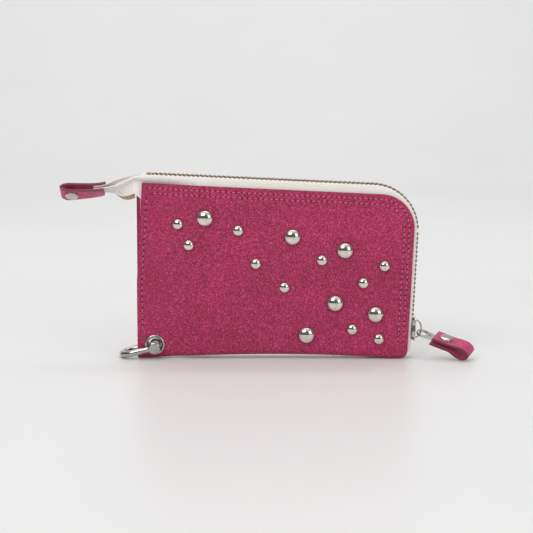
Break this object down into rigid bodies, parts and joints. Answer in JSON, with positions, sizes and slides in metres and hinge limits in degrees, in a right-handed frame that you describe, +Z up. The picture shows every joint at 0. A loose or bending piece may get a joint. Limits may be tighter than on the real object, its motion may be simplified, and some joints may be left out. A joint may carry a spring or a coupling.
{
  "type": "chain wallet",
  "caption": "Flat folded leather wallet with domed metal studs, an L-shaped metal zip closed by a slider with a leather pull tab, a tail tab, and an eyelet holding a screw shackle for a chain.",
  "frame": {"origin": "middle of the object's box at its lowest point, on the surface that the wallet stands on", "axes": "+X along the bottom fold towards the zip slider, +Y away from the studded face, +Z up"},
  "size_m": [0.2332, 0.0268, 0.1051],
  "materials": {
    "pink_leather": "crinkled leather with a fine glitter",
    "tab_leather": "smooth waxed leather",
    "tan_leather": "natural leather",
    "lilac_lining": "matt split leather",
    "zip_tape": "woven tape",
    "zip_teeth": "antique nickel plate",
    "slider_metal": "polished nickel plate",
    "polished_metal": "polished nickel plate",
    "stud_metal": "mirror polished"
  },
  "bodies": {
    "wallet": {"outer_leather": "pink_leather", "front_lining": "lilac_lining", "back_lining": "lilac_lining", "card_slot_1": "lilac_lining", "card_slot_2": "lilac_lining", "front_tape": "zip_tape", "back_tape": "zip_tape", "front_teeth_top": "zip_teeth", "front_teeth_side": "zip_teeth", "back_teeth_top": "zip_teeth", "back_teeth_side": "zip_teeth", "bottom_stop": "zip_teeth", "front_top_stop": "zip_teeth", "back_top_stop": "zip_teeth", "tail_tab_leather": "tab_leather", "tail_tab_rivet_cap": "polished_metal", "tail_tab_rivet_post": "polished_metal", "tail_strip": "tan_leather", "eyelet": "polished_metal", "eyelet_washer": "polished_metal", "large_stud_1": "stud_metal", "large_stud_2": "stud_metal", "large_stud_3": "stud_metal", "large_stud_4": "stud_metal", "large_stud_5": "stud_metal", "large_stud_6": "stud_metal", "small_stud_1": "stud_metal", "small_stud_2": "stud_metal", "small_stud_3": "stud_metal", "small_stud_4": "stud_metal", "small_stud_5": "stud_metal", "small_stud_6": "stud_metal", "small_stud_7": "stud_metal", "small_stud_8": "stud_metal", "small_stud_9": "stud_metal", "small_stud_10": "stud_metal"},
    "slider": {"slider_body": "slider_metal", "slider_bridge": "slider_metal"},
    "pull": {"puller": "slider_metal", "pull_tab_leather": "tab_leather", "pull_tab_rivet_cap": "polished_metal", "pull_tab_rivet_post": "polished_metal"},
    "shackle": {"shackle_bow": "polished_metal"},
    "shackle_screw": {"shackle_pin": "polished_metal"}
  },
  "joints": [
    {"name": "slider_travel", "type": "slide", "parent": "wallet", "child": "slider", "axis": [0.0461, 0, 0.9989], "range_m": [0, 0.044], "deforming": ["front_teeth_side", "back_teeth_side"]},
    {"name": "puller_swing", "type": "hinge", "parent": "slider", "child": "pull", "pos_m": [0.08483, 0.00253, 0.01432], "axis": [0, 1, 0], "range_deg": [-65, 65]},
    {"name": "shackle_swing", "type": "hinge", "parent": "wallet", "child": "shackle", "pos_m": [-0.06384, 0.00253, 0.0065], "axis": [0, 1, 0], "range_deg": [-120, 60]},
    {"name": "pin_turn", "type": "hinge", "parent": "shackle", "child": "shackle_screw", "pos_m": [-0.06384, 0.00253, 0.0065], "axis": [0, 1, 0], "continuous": true}
  ]
}
